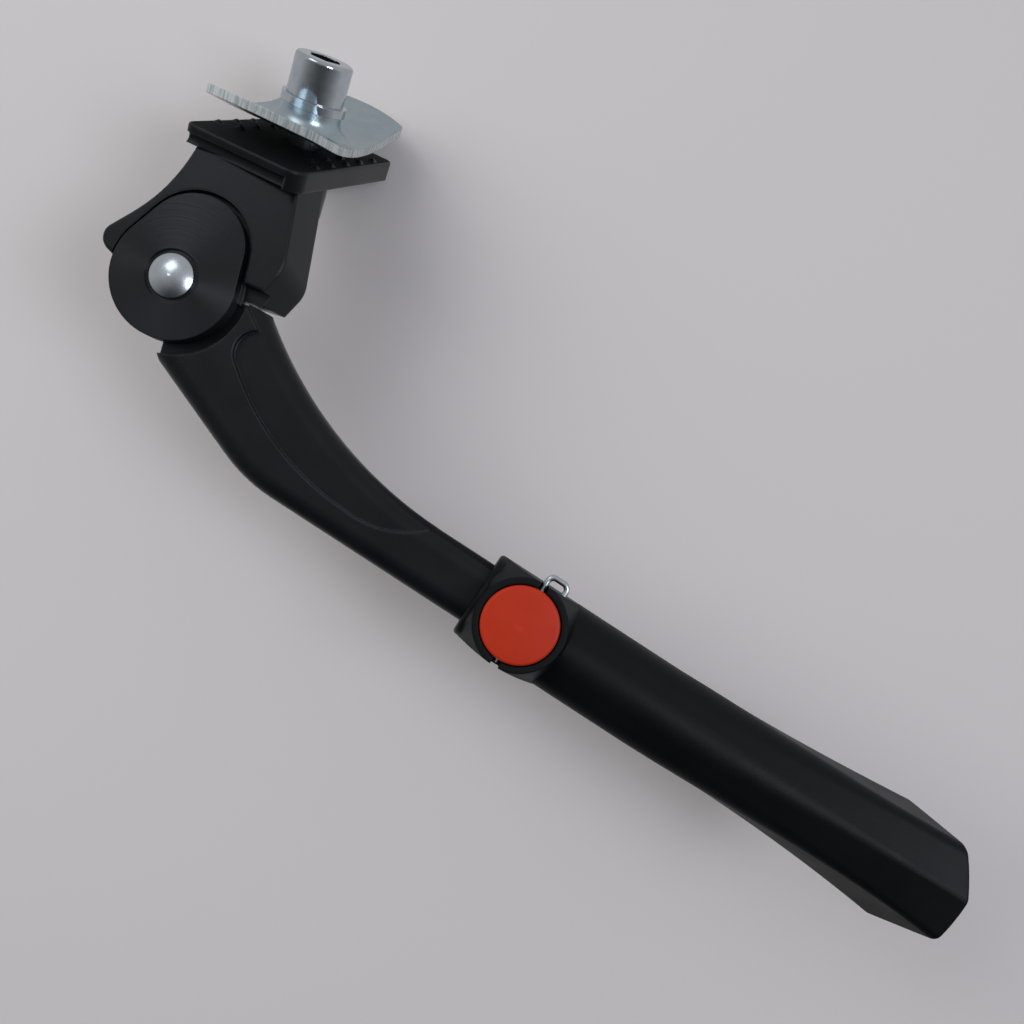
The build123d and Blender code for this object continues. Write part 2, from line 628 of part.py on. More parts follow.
# Button: a domed cap with a slotted skirt that straddles the wire
button_turning = Plane(
    origin=button_plane.origin, x_dir=leg_plane.x_dir, z_dir=leg_plane.x_dir.cross(outward)
)
with BuildPart() as press_button:
    with BuildSketch(button_turning):
        with BuildLine():
            cap = TangentArc((0, BUTTON_TOP), (BUTTON_R, BUTTON_TOP - BUTTON_DOME), tangent=(1, 0))
            Polyline(
                cap @ 1,
                (BUTTON_R, BUTTON_FOOT),
                (BUTTON_R - BUTTON_SKIRT, BUTTON_FOOT),
                (BUTTON_R - BUTTON_SKIRT, BUTTON_TOP - BUTTON_CAP),
                (0, BUTTON_TOP - BUTTON_CAP),
                cap @ 0,
            )
        make_face()
    revolve(axis=Axis(button_plane.origin, outward))
    cap_edges = press_button.edges().filter_by(GeomType.CIRCLE).filter_by(
        lambda edge: abs(button_plane.to_local_coords(edge @ 0).Z - BUTTON_TOP + BUTTON_DOME) < PIN_FIT
    )
    fillet(cap_edges, BUTTON_EDGE)
    with BuildSketch(button_plane.offset(WIRE_AT - WIRE_D / 2 - SLIDE_GAP)):
        Rectangle(WIRE_SLOT, 4 * BUTTON_R)
    extrude(amount=WIRE_D + 2 * SLIDE_GAP + BUTTON_TRAVEL, mode=Mode.SUBTRACT)
press_button.part.label = "press_button"
export_step(press_button.part, "parts/press_button.step")

# Lock plate: rings the bar, with a tab inside the button's skirt
skirt_r = BUTTON_R - BUTTON_SKIRT
lock_tab = sqrt(skirt_r**2 - (LOCK_SHIFT + PLATE_LOCK_T / 2) ** 2) - SLIDE_GAP
with BuildPart() as lock_plate:
    with BuildSketch(bar_station(lock_at - PLATE_LOCK_T / 2)):
        RectangleRounded(LOCK_W, 2 * LOCK_HALF, LEG_ROUND + 2)
        with Locations((0, LOCK_HALF)):
            Rectangle(LOCK_W, 2 * (LOCK_HALF - LEG_T / 2) + SLIDE_GAP, mode=Mode.SUBTRACT)
        with Locations((0, LEG_T / 2)):
            Rectangle(2 * lock_tab, 2 * LOCK_TAB_TOP + 2 * LEG_SET_BACK)
        RectangleRounded(BAR_W + 2 * BORE_GAP, LEG_T + 2 * BORE_GAP, LEG_ROUND, mode=Mode.SUBTRACT)
    extrude(amount=PLATE_LOCK_T)
lock_plate.part.label = "lock_plate"
export_step(lock_plate.part, "parts/lock_plate.step")

# Wire clip: a hairpin across the boss
with BuildPart() as lock_clip:
    with BuildLine(button_plane.offset(WIRE_AT)):
        wire = FilletPolyline(
            (0, CLIP_IN), (0, CLIP_OUT), (CLIP_PITCH, CLIP_OUT), (CLIP_PITCH, CLIP_TAIL), radius=CLIP_BEND
        )
    with BuildSketch(Plane(origin=wire @ 0, z_dir=wire % 0)):
        Circle(WIRE_D / 2)
    sweep()
lock_clip.part.label = "lock_clip"
export_step(lock_clip.part, "parts/lock_clip.step")

# Clamp plate: a disc trimmed at two sides and pressed to a trough, with a drawn collar for the bolt
with BuildPart() as clamp_plate:
    with BuildSketch(Plane.YZ.offset(-CLAMP_X / 2)):
        with BuildLine():
            floor_arc = JernArc((0, TROUGH_LIFT), (1, 0), TROUGH_R, TROUGH_HALF)
            wing = Line(floor_arc @ 1, (floor_arc @ 1) + (floor_arc % 1) * CLAMP_R)
            mirror(about=Plane.YZ)
            offset(amount=CLAMP_T, side=Side.LEFT)
        make_face()
    extrude(amount=CLAMP_X)
    with BuildSketch() as clamp_blank:
        Circle(CLAMP_R)
        Rectangle(CLAMP_X, 2 * CLAMP_R, mode=Mode.INTERSECT)
        fillet(clamp_blank.vertices(), CLAMP_CORNER)
    extrude(amount=4 * COLLAR_TOP, mode=Mode.INTERSECT)
    with BuildSketch(Plane.XZ):
        with BuildLine():
            flare = RadiusArc(
                (COLLAR_R, TROUGH_LIFT + CLAMP_T + COLLAR_FLARE),
                (COLLAR_R + COLLAR_FLARE, TROUGH_LIFT + CLAMP_T),
                -COLLAR_FLARE,
            )
            Polyline(
                flare @ 1,
                (COLLAR_R + COLLAR_FLARE, TROUGH_LIFT + CLAMP_T / 2),
                (BOLT_D / 2, TROUGH_LIFT + CLAMP_T / 2),
                (BOLT_D / 2, COLLAR_TOP),
                (COLLAR_R, COLLAR_TOP),
                flare @ 0,
            )
        make_face()
    revolve(axis=Axis.Z)
    with BuildSketch():
        Circle(BOLT_D / 2 + PIN_FIT)
    extrude(amount=2 * COLLAR_TOP, mode=Mode.SUBTRACT)
clamp_plate.part.label = "clamp_plate"
export_step(clamp_plate.part, "parts/clamp_plate.step")

# Split spring washer
with BuildPart() as spring_washer:
    with BuildSketch(Plane.XY.offset(COLLAR_TOP)):
        Circle(WASHER_D / 2)
        Circle(BOLT_D / 2 + PIN_FIT, mode=Mode.SUBTRACT)
        with Locations(Rotation(0, 0, WASHER_TURN)):
            with Locations((WASHER_D / 2, 0)):
                Rectangle(WASHER_D, WASHER_SPLIT, mode=Mode.SUBTRACT)
    extrude(amount=WASHER_T)
spring_washer.part.label = "spring_washer"
export_step(spring_washer.part, "parts/spring_washer.step")

# Socket-head clamp bolt
head_seat = COLLAR_TOP + WASHER_T
with BuildPart() as clamp_bolt:
    with BuildSketch(Plane.XY.offset(head_seat)):
        Circle(HEAD_D / 2)
    extrude(amount=HEAD_HEIGHT)
    fillet(clamp_bolt.edges().group_by(Axis.Z)[-1], HEAD_EASE)
    with BuildSketch(Plane.XY.offset(head_seat)):
        Circle(BOLT_D / 2)
    extrude(amount=-BOLT_LENGTH)
    chamfer(clamp_bolt.edges().group_by(Axis.Z)[0], BOLT_LEAD)
    with BuildSketch(Plane.XY.offset(head_seat + HEAD_HEIGHT)):
        RegularPolygon(HEX_ACROSS / 2, 6, major_radius=False)
    extrude(amount=-HEX_DEPTH, mode=Mode.SUBTRACT)
clamp_bolt.part.label = "clamp_bolt"
export_step(clamp_bolt.part, "parts/clamp_bolt.step")
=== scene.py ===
import bpy
from mathutils import Matrix, Vector

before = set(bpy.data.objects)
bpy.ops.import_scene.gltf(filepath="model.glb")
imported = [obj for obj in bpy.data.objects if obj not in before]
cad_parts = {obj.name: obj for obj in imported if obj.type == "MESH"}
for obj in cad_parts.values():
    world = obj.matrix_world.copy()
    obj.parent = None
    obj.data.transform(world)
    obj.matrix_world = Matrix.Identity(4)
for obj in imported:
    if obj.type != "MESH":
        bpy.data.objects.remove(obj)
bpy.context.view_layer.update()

# Bracket and leg
# Two aluminium die-castings: the bracket hangs from the cycle's stays, and the leg swings between
# its walls. Both are shot-blasted, then sprayed black and baked before they are put together.
MM = 0.001
COAT_PEBBLE = 0.8 * MM  # a sprayed coat's own pebble is about 0.4 mm, too fine to show here
COAT_PEBBLE_DEPTH = 0.02 * MM
COAT_PATCH = 11.0 * MM
COAT_SATIN = (0.26, 0.36)
COAT_IOR = 1.5
COAT_SHINE = 0.28
COAT_BLACK = "#090C0F"
COAT_GREY_BLACK = "#0F1316"
# paler colour along edges: partly paint worn thin, partly a painted highlight
COAT_WEAR_AND_HIGHLIGHT = "#454B4F"
CAST_EDGE = 0.9 * MM
EDGE_STARTS, EDGE_FULL = 0.99, 0.82  # how far the eased normal leaves the face's own, as a cosine
GRIP_STARTS, GRIP_FULL = 0.90, 0.97  # how nearly a face looks straight up
GRIP_FACE_DULL = 0.85
# the deeper black of level faces is painted shade
GRIP_FACE_SHADE_BLACK = "#040506"
NOISE_LOW, NOISE_HIGH = 0.3, 0.7  # the span that a noise texture mostly stays in
EASE_RAYS = 4


def srgb(code):
    """Linear colour of an sRGB hex code, with alpha 1."""
    values = [int(code[i:i + 2], 16) / 255 for i in (1, 3, 5)]
    linear = [v / 12.92 if v <= 0.04045 else ((v + 0.055) / 1.055) ** 2.4 for v in values]
    return (*linear, 1.0)


def add(tree, kind, inputs=None, **settings):
    """Adds a node, sets its properties, and sets or links its inputs."""
    node = tree.nodes.new(kind)
    for name, value in settings.items():
        setattr(node, name, value)
    for name, value in (inputs or {}).items():
        socket = node.inputs[name]
        if isinstance(value, bpy.types.NodeSocket):
            tree.links.new(value, socket)
        else:
            socket.default_value = value
    return node


def finish_for(name, *pieces):
    """A new material on these pieces: its node tree and its coordinates on the piece."""
    made = bpy.data.materials.new(name)
    made.use_nodes = True
    tree = made.node_tree
    tree.nodes.remove(tree.nodes["Principled BSDF"])
    for piece in pieces:
        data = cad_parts[piece].data
        data.materials.clear()
        data.materials.append(made)
    return tree, add(tree, "ShaderNodeTexCoord").outputs["Object"]


def close(tree, surface):
    """Links a shader to the material's output."""
    tree.links.new(surface.outputs[0], tree.nodes["Material Output"].inputs["Surface"])


# Baked black enamel on blasted aluminium: a deep satin black whose faint pebble softens every
# reflection, in patches a little duller or shinier, and paler along the edges, partly as paint worn
# thin and partly as a painted highlight.
# Level faces, where the stays are gripped, are blasted coarser: dull and without reflections.
# Their black is also made deeper, as painted shade.
tree, place = finish_for("baked_enamel_on_casting", "bracket", "leg_arm")
pebble = add(
    tree, "ShaderNodeTexNoise", {"Vector": place, "Scale": 1 / COAT_PEBBLE, "Detail": 2.0}
)
patch = add(tree, "ShaderNodeTexNoise", {"Vector": place, "Scale": 1 / COAT_PATCH, "Detail": 3.0})
eased = add(tree, "ShaderNodeBevel", {"Radius": CAST_EDGE}, samples=EASE_RAYS)
face = add(tree, "ShaderNodeNewGeometry")
turn = add(
    tree, "ShaderNodeVectorMath", {0: eased.outputs["Normal"], 1: face.outputs["Normal"]},
    operation="DOT_PRODUCT",
)
edge = add(
    tree, "ShaderNodeMapRange",
    {"Value": turn.outputs["Value"], "From Min": EDGE_STARTS, "From Max": EDGE_FULL},
)
# the paler edge colour is partly worn paint and partly a painted highlight
wear_and_highlight = add(
    tree, "ShaderNodeMath", {0: edge.outputs["Result"], 1: patch.outputs["Fac"]},
    operation="MULTIPLY",
)
black = add(
    tree, "ShaderNodeMix",
    {"Factor": patch.outputs["Fac"], "A": srgb(COAT_BLACK), "B": srgb(COAT_GREY_BLACK)},
    data_type="RGBA",
)
colour = add(
    tree, "ShaderNodeMix",
    {"Factor": wear_and_highlight.outputs["Value"], "A": black.outputs[2], "B": srgb(COAT_WEAR_AND_HIGHLIGHT)},
    data_type="RGBA",
)
facing = add(tree, "ShaderNodeTexCoord").outputs["Normal"]
upright = add(tree, "ShaderNodeSeparateXYZ", {"Vector": facing})
grip = add(
    tree, "ShaderNodeMapRange",
    {"Value": upright.outputs["Z"], "From Min": GRIP_STARTS, "From Max": GRIP_FULL},
)
# faces that look straight up get a deeper black here: painted shade
painted = add(
    tree, "ShaderNodeMix",
    {"Factor": grip.outputs["Result"], "A": colour.outputs[2], "B": srgb(GRIP_FACE_SHADE_BLACK)},
    data_type="RGBA",
)
satin = add(
    tree, "ShaderNodeMapRange",
    {
        "Value": patch.outputs["Fac"],
        "From Min": NOISE_LOW,
        "From Max": NOISE_HIGH,
        "To Min": COAT_SATIN[0],
        "To Max": COAT_SATIN[1],
    },
)
dull = add(
    tree, "ShaderNodeMapRange",
    {"Value": grip.outputs["Result"], "To Min": satin.outputs["Result"], "To Max": GRIP_FACE_DULL},
)
relief = add(
    tree, "ShaderNodeBump",
    {
        "Height": pebble.outputs["Fac"],
        "Distance": COAT_PEBBLE_DEPTH,
        "Normal": eased.outputs["Normal"],
    },
)
close(tree, add(
    tree, "ShaderNodeBsdfPrincipled",
    {
        "Base Color": painted.outputs[2],
        "Roughness": dull.outputs["Result"],
        "Normal": relief.outputs["Normal"],
        "IOR": COAT_IOR,
        "Specular IOR Level": COAT_SHINE,
    },
))

# Cam plunger, its spring and the lock plate
# Hardened steel parts that do the holding: a slider pressed onto the leg's cam by a coil spring,
# and a stamped plate that tilts on the bar to grip it. They go in loose, oiled and unplated.
STEEL_STAIN = 1.7 * MM
STEEL_DULL = (0.34, 0.48)
STEEL_DARK = "#6E6E70"
STEEL_PALE = "#88888A"

# Bare hardened steel: grey and half bright, with the soft stains of oil and heat.
tree, place = finish_for("oiled_hardened_steel", "cam_plunger", "plunger_spring", "lock_plate")
stain = add(tree, "ShaderNodeTexNoise", {"Vector": place, "Scale": 1 / STEEL_STAIN, "Detail": 3.0})
colour = add(
    tree, "ShaderNodeMix",
    {"Factor": stain.outputs["Fac"], "A": srgb(STEEL_DARK), "B": srgb(STEEL_PALE)},
    data_type="RGBA",
)
dull = add(
    tree, "ShaderNodeMapRange",
    {
        "Value": stain.outputs["Fac"],
        "From Min": NOISE_LOW,
        "From Max": NOISE_HIGH,
        "To Min": STEEL_DULL[0],
        "To Max": STEEL_DULL[1],
    },
)
close(tree, add(
    tree, "ShaderNodeBsdfPrincipled",
    {"Base Color": colour.outputs[2], "Roughness": dull.outputs["Result"], "Metallic": 1.0},
))

# Pivot cover
# An egg-shaped aluminium cap that closes the arch of the bracket. Its face is turned on a lathe
# round the pivot, painted thinly with the castings' enamel, and held down by the rivet's head.
PIVOT = Vector((-4.4, -41.8, -35.7)) * MM
PIVOT_AXIS = Vector((0.1307, -0.8853, 0.4462))
TURNING_RING = 0.45 * MM  # the tool's own feed is near 0.1 mm, drawn coarser so that it shows
TURNING_DEPTH = 0.012 * MM
COVER_PATCH = 8.0 * MM
COVER_EDGE = 0.5 * MM
COVER_SATIN = (0.36, 0.46)
COVER_SHINE = 0.4
COVER_SPREAD = 0.92  # how much further the shine runs along the radius than round it
COVER_GREY_BLACK = "#101418"

# Thin black enamel on a turned face: the rings spread the shine along the radius, so that two pale
# wedges lie on the face as on a record, and the black stays deep across them.
tree, place = finish_for("thin_enamel_on_turned_face", "pivot_cover")
arm = add(tree, "ShaderNodeVectorMath", {0: place, 1: tuple(PIVOT)}, operation="SUBTRACT")
sweep = add(
    tree, "ShaderNodeVectorMath", {0: tuple(PIVOT_AXIS), 1: arm.outputs[0]},
    operation="CROSS_PRODUCT",
)
radius = add(tree, "ShaderNodeVectorMath", {0: sweep.outputs[0]}, operation="LENGTH")
ring = add(
    tree, "ShaderNodeTexNoise",
    {"W": radius.outputs["Value"], "Scale": 1 / TURNING_RING, "Detail": 2.0},
    noise_dimensions="1D",
)
patch = add(tree, "ShaderNodeTexNoise", {"Vector": place, "Scale": 1 / COVER_PATCH, "Detail": 3.0})
eased = add(tree, "ShaderNodeBevel", {"Radius": COVER_EDGE}, samples=EASE_RAYS)
colour = add(
    tree, "ShaderNodeMix",
    {"Factor": patch.outputs["Fac"], "A": srgb(COAT_BLACK), "B": srgb(COVER_GREY_BLACK)},
    data_type="RGBA",
)
dull = add(
    tree, "ShaderNodeMapRange",
    {
        "Value": ring.outputs["Fac"],
        "From Min": NOISE_LOW,
        "From Max": NOISE_HIGH,
        "To Min": COVER_SATIN[0],
        "To Max": COVER_SATIN[1],
    },
)
relief = add(
    tree, "ShaderNodeBump",
    {"Height": ring.outputs["Fac"], "Distance": TURNING_DEPTH, "Normal": eased.outputs["Normal"]},
)
close(tree, add(
    tree, "ShaderNodeBsdfPrincipled",
    {
        "Base Color": colour.outputs[2],
        "Roughness": dull.outputs["Result"],
        "Normal": relief.outputs["Normal"],
        "Tangent": arm.outputs[0],
        "Anisotropic": COVER_SPREAD,
        "IOR": COAT_IOR,
        "Specular IOR Level": COVER_SHINE,
    },
))

# Rivet, its washer and the wire clip
# The rivet is the hinge pin, a steel pin with a cold-formed dome, closed over a washer at the back.
# The clip is a hairpin of spring wire that keeps the button in its boss. All are plated in bulk.
PLATING_HAZE = 3.5 * MM
PLATING_DULL = (0.20, 0.32)
HANDLING_MARK = 0.6 * MM  # real rubbing marks are hair-fine, so they are drawn wider to show
HANDLING_DEPTH = 0.008 * MM
SMALL_EDGE = 0.3 * MM
ZINC_GREY = "#B4BEC6"
ZINC_WHITE = "#D5DADD"

# Barrel-plated zinc on steel: a cool white metal, its shine softened by tumbling against others.
tree, place = finish_for("barrel_zinc_on_steel", "pivot_rivet", "rivet_washer", "lock_clip")
haze = add(tree, "ShaderNodeTexNoise", {"Vector": place, "Scale": 1 / PLATING_HAZE, "Detail": 4.0})
mark = add(
    tree, "ShaderNodeTexNoise", {"Vector": place, "Scale": 1 / HANDLING_MARK, "Detail": 3.0}
)
eased = add(tree, "ShaderNodeBevel", {"Radius": SMALL_EDGE}, samples=EASE_RAYS)
colour = add(
    tree, "ShaderNodeMix",
    {"Factor": haze.outputs["Fac"], "A": srgb(ZINC_GREY), "B": srgb(ZINC_WHITE)},
    data_type="RGBA",
)
dull = add(
    tree, "ShaderNodeMapRange",
    {
        "Value": haze.outputs["Fac"],
        "From Min": NOISE_LOW,
        "From Max": NOISE_HIGH,
        "To Min": PLATING_DULL[0],
        "To Max": PLATING_DULL[1],
    },
)
relief = add(
    tree, "ShaderNodeBump",
    {"Height": mark.outputs["Fac"], "Distance": HANDLING_DEPTH, "Normal": eased.outputs["Normal"]},
)
close(tree, add(
    tree, "ShaderNodeBsdfPrincipled",
    {
        "Base Color": colour.outputs[2],
        "Roughness": dull.outputs["Result"],
        "Normal": relief.outputs["Normal"],
        "Metallic": 1.0,
    },
))

# Foot
# A polypropylene moulding that slides on the leg's bar to set the length, with the button's boss
# at its upper end. It comes out of a spark-eroded mould in one piece, and the lock plate holds it.
MOULD_GRAIN = 0.8 * MM  # the eroded grain is about 0.2 mm, drawn coarser so that it shows
MOULD_GRAIN_DEPTH = 0.03 * MM
MOULD_FLOW = 17.0 * MM
MOULD_EDGE = 0.8 * MM
FOOT_DULL = (0.42, 0.52)
FOOT_IOR = 1.49
FOOT_SHINE = 0.18
FOOT_BLACK = "#06080A"
FOOT_GREY_BLACK = "#0A0D0F"

# Black polypropylene with a fine moulded grain: matte, no clear reflections, slightly uneven.
tree, place = finish_for("grained_polypropylene", "foot_sleeve")
grain = add(tree, "ShaderNodeTexNoise", {"Vector": place, "Scale": 1 / MOULD_GRAIN, "Detail": 2.0})
flow = add(tree, "ShaderNodeTexNoise", {"Vector": place, "Scale": 1 / MOULD_FLOW, "Detail": 2.0})
eased = add(tree, "ShaderNodeBevel", {"Radius": MOULD_EDGE}, samples=EASE_RAYS)
colour = add(
    tree, "ShaderNodeMix",
    {"Factor": flow.outputs["Fac"], "A": srgb(FOOT_BLACK), "B": srgb(FOOT_GREY_BLACK)},
    data_type="RGBA",
)
dull = add(
    tree, "ShaderNodeMapRange",
    {
        "Value": flow.outputs["Fac"],
        "From Min": NOISE_LOW,
        "From Max": NOISE_HIGH,
        "To Min": FOOT_DULL[0],
        "To Max": FOOT_DULL[1],
    },
)
relief = add(
    tree, "ShaderNodeBump",
    {
        "Height": grain.outputs["Fac"],
        "Distance": MOULD_GRAIN_DEPTH,
        "Normal": eased.outputs["Normal"],
    },
)
close(tree, add(
    tree, "ShaderNodeBsdfPrincipled",
    {
        "Base Color": colour.outputs[2],
        "Roughness": dull.outputs["Result"],
        "Normal": relief.outputs["Normal"],
        "IOR": FOOT_IOR,
        "Specular IOR Level": FOOT_SHINE,
    },
))

# Button
# A round push button moulded in coloured ABS. It sits in the foot's boss, pressed up by the clip,
# and pushes the lock plate straight so that the foot can slide.
BUTTON_GRAIN = 0.5 * MM  # the mould's grain is about 0.1 mm, drawn coarser so that it shows
BUTTON_GRAIN_DEPTH = 0.015 * MM
BUTTON_PATCH = 6.5 * MM
BUTTON_EDGE = 0.4 * MM
BUTTON_DULL = (0.40, 0.50)
BUTTON_IOR = 1.53
BUTTON_SHINE = 0.22
BUTTON_RED = "#AC2A11"
BUTTON_ORANGE = "#B63015"

# Orange-red ABS, lightly grained: an even, strong colour under a soft sheen.
tree, place = finish_for("orange_red_abs", "press_button")
grain = add(
    tree, "ShaderNodeTexNoise", {"Vector": place, "Scale": 1 / BUTTON_GRAIN, "Detail": 2.0}
)
patch = add(
    tree, "ShaderNodeTexNoise", {"Vector": place, "Scale": 1 / BUTTON_PATCH, "Detail": 2.0}
)
eased = add(tree, "ShaderNodeBevel", {"Radius": BUTTON_EDGE}, samples=EASE_RAYS)
colour = add(
    tree, "ShaderNodeMix",
    {"Factor": patch.outputs["Fac"], "A": srgb(BUTTON_RED), "B": srgb(BUTTON_ORANGE)},
    data_type="RGBA",
)
dull = add(
    tree, "ShaderNodeMapRange",
    {
        "Value": patch.outputs["Fac"],
        "From Min": NOISE_LOW,
        "From Max": NOISE_HIGH,
        "To Min": BUTTON_DULL[0],
        "To Max": BUTTON_DULL[1],
    },
)
relief = add(
    tree, "ShaderNodeBump",
    {
        "Height": grain.outputs["Fac"],
        "Distance": BUTTON_GRAIN_DEPTH,
        "Normal": eased.outputs["Normal"],
    },
)
close(tree, add(
    tree, "ShaderNodeBsdfPrincipled",
    {
        "Base Color": colour.outputs[2],
        "Roughness": dull.outputs["Result"],
        "Normal": relief.outputs["Normal"],
        "IOR": BUTTON_IOR,
        "Specular IOR Level": BUTTON_SHINE,
    },
))

# Clamp plate
# A steel blank, punched out and pressed into a trough with a drawn collar, that the bolt pulls down
# onto the stays. It is plated in a barrel with the other small parts and dipped in blue passivate.
PASSIVATE_CLOUD = 4.5 * MM
PASSIVATE_DULL = (0.22, 0.38)
PASSIVATE_BLUE = "#9FB2BC"
PASSIVATE_PALE = "#C3CFD2"
DRAWN_MARK = 2.5 * MM
DRAWN_MARK_DEPTH = 0.006 * MM
SHEAR_LINE = 0.6 * MM  # the punch leaves lines about 0.3 mm apart, drawn coarser so that they show
SHEAR_DEPTH = 0.04 * MM
SHEAR_DRAWN_OUT = 0.08  # the lines run through the plate, so their pattern is stretched upright
SHEAR_LOW, SHEAR_HIGH = 0.32, 0.68
STEEP_STARTS, STEEP_FULL = 0.45, 0.25  # how nearly a face looks up or down
SHEARED_METAL = 0.35
SHEARED_DARK = "#A0A6A6"
SHEARED_PALE = "#D2D8D7"
PLATE_EDGE = 0.4 * MM
COLLAR_REACH = 12.5 * MM
EDGE_REACH = 14.0 * MM

# Blue-passivated zinc on pressed steel: a cool, clouded, half-bright metal, with the duller, lined
# edge that the punch leaves.
tree, place = finish_for("blue_zinc_on_pressed_steel", "clamp_plate")
facing = add(tree, "ShaderNodeTexCoord").outputs["Normal"]
upright = add(tree, "ShaderNodeSeparateXYZ", {"Vector": facing})
level = add(tree, "ShaderNodeMath", {0: upright.outputs["Z"]}, operation="ABSOLUTE")
steep = add(
    tree, "ShaderNodeMapRange",
    {"Value": level.outputs["Value"], "From Min": STEEP_STARTS, "From Max": STEEP_FULL},
)
flattened = add(tree, "ShaderNodeMapping", {"Vector": place, "Scale": (1.0, 1.0, 0.0)})
reach = add(tree, "ShaderNodeVectorMath", {0: flattened.outputs["Vector"]}, operation="LENGTH")
sheared = add(
    tree, "ShaderNodeMapRange",
    {
        "Value": reach.outputs["Value"],
        "From Min": COLLAR_REACH,
        "From Max": EDGE_REACH,
        "To Max": steep.outputs["Result"],
    },
)
cloud = add(
    tree, "ShaderNodeTexNoise", {"Vector": place, "Scale": 1 / PASSIVATE_CLOUD, "Detail": 4.0}
)
mark = add(tree, "ShaderNodeTexNoise", {"Vector": place, "Scale": 1 / DRAWN_MARK, "Detail": 3.0})
along_punch = add(
    tree, "ShaderNodeMapping", {"Vector": place, "Scale": (1.0, 1.0, SHEAR_DRAWN_OUT)}
)
line = add(
    tree, "ShaderNodeTexNoise",
    {"Vector": along_punch.outputs["Vector"], "Scale": 1 / SHEAR_LINE, "Detail": 1.0},
)
eased = add(tree, "ShaderNodeBevel", {"Radius": PLATE_EDGE}, samples=EASE_RAYS)
blue = add(
    tree, "ShaderNodeMix",
    {"Factor": cloud.outputs["Fac"], "A": srgb(PASSIVATE_BLUE), "B": srgb(PASSIVATE_PALE)},
    data_type="RGBA",
)
lined = add(
    tree, "ShaderNodeMapRange",
    {"Value": line.outputs["Fac"], "From Min": SHEAR_LOW, "From Max": SHEAR_HIGH},
)
torn = add(
    tree, "ShaderNodeMix",
    {"Factor": lined.outputs["Result"], "A": srgb(SHEARED_DARK), "B": srgb(SHEARED_PALE)},
    data_type="RGBA",
)
colour = add(
    tree, "ShaderNodeMix",
    {"Factor": sheared.outputs["Result"], "A": blue.outputs[2], "B": torn.outputs[2]},
    data_type="RGBA",
)
dull = add(
    tree, "ShaderNodeMapRange",
    {
        "Value": cloud.outputs["Fac"],
        "From Min": NOISE_LOW,
        "From Max": NOISE_HIGH,
        "To Min": PASSIVATE_DULL[0],
        "To Max": PASSIVATE_DULL[1],
    },
)
metal = add(
    tree, "ShaderNodeMapRange",
    {"Value": sheared.outputs["Result"], "To Min": 1.0, "To Max": SHEARED_METAL},
)
drawn = add(
    tree, "ShaderNodeBump",
    {
        "Height": mark.outputs["Fac"],
        "Distance": DRAWN_MARK_DEPTH,
        "Normal": eased.outputs["Normal"],
    },
)
relief = add(
    tree, "ShaderNodeBump",
    {
        "Height": line.outputs["Fac"],
        "Strength": sheared.outputs["Result"],
        "Distance": SHEAR_DEPTH,
        "Normal": drawn.outputs["Normal"],
    },
)
close(tree, add(
    tree, "ShaderNodeBsdfPrincipled",
    {
        "Base Color": colour.outputs[2],
        "Roughness": dull.outputs["Result"],
        "Normal": relief.outputs["Normal"],
        "Metallic": metal.outputs["Result"],
    },
))

# Clamp bolt and spring washer
# A cold-headed socket screw that draws the plate down towards the bracket's threaded boss, and the
# split spring-steel washer under its head that keeps it tight. Both are bright plated.
DIE_LINE = 0.5 * MM  # the die's own lines on the head are finer, drawn coarser so that they show
DIE_LINE_DEPTH = 0.0015 * MM
DIE_LINE_ROUND = 0.03  # the lines run round the head, so their pattern is stretched level
BOLT_HAZE = 3.0 * MM
BOLT_DULL = (0.07, 0.16)
BOLT_EDGE = 0.3 * MM
BOLT_GREY = "#AEB9C2"
BOLT_WHITE = "#D3D9DD"

# Bright zinc on a cold-formed screw: nearly a mirror, cool white, so it shows light and dark
# stripes down the head, drawn out a little by the rings of the die.
tree, place = finish_for("bright_zinc_on_screw", "clamp_bolt", "spring_washer")
haze = add(tree, "ShaderNodeTexNoise", {"Vector": place, "Scale": 1 / BOLT_HAZE, "Detail": 4.0})
rings = add(
    tree, "ShaderNodeMapping",
    {"Vector": place, "Scale": (DIE_LINE_ROUND, DIE_LINE_ROUND, 1.0)},
)
line = add(
    tree, "ShaderNodeTexNoise",
    {"Vector": rings.outputs["Vector"], "Scale": 1 / DIE_LINE, "Detail": 2.0},
)
eased = add(tree, "ShaderNodeBevel", {"Radius": BOLT_EDGE}, samples=EASE_RAYS)
colour = add(
    tree, "ShaderNodeMix",
    {"Factor": haze.outputs["Fac"], "A": srgb(BOLT_GREY), "B": srgb(BOLT_WHITE)},
    data_type="RGBA",
)
dull = add(
    tree, "ShaderNodeMapRange",
    {
        "Value": haze.outputs["Fac"],
        "From Min": NOISE_LOW,
        "From Max": NOISE_HIGH,
        "To Min": BOLT_DULL[0],
        "To Max": BOLT_DULL[1],
    },
)
relief = add(
    tree, "ShaderNodeBump",
    {"Height": line.outputs["Fac"], "Distance": DIE_LINE_DEPTH, "Normal": eased.outputs["Normal"]},
)
close(tree, add(
    tree, "ShaderNodeBsdfPrincipled",
    {
        "Base Color": colour.outputs[2],
        "Roughness": dull.outputs["Result"],
        "Normal": relief.outputs["Normal"],
        "Metallic": 1.0,
    },
))

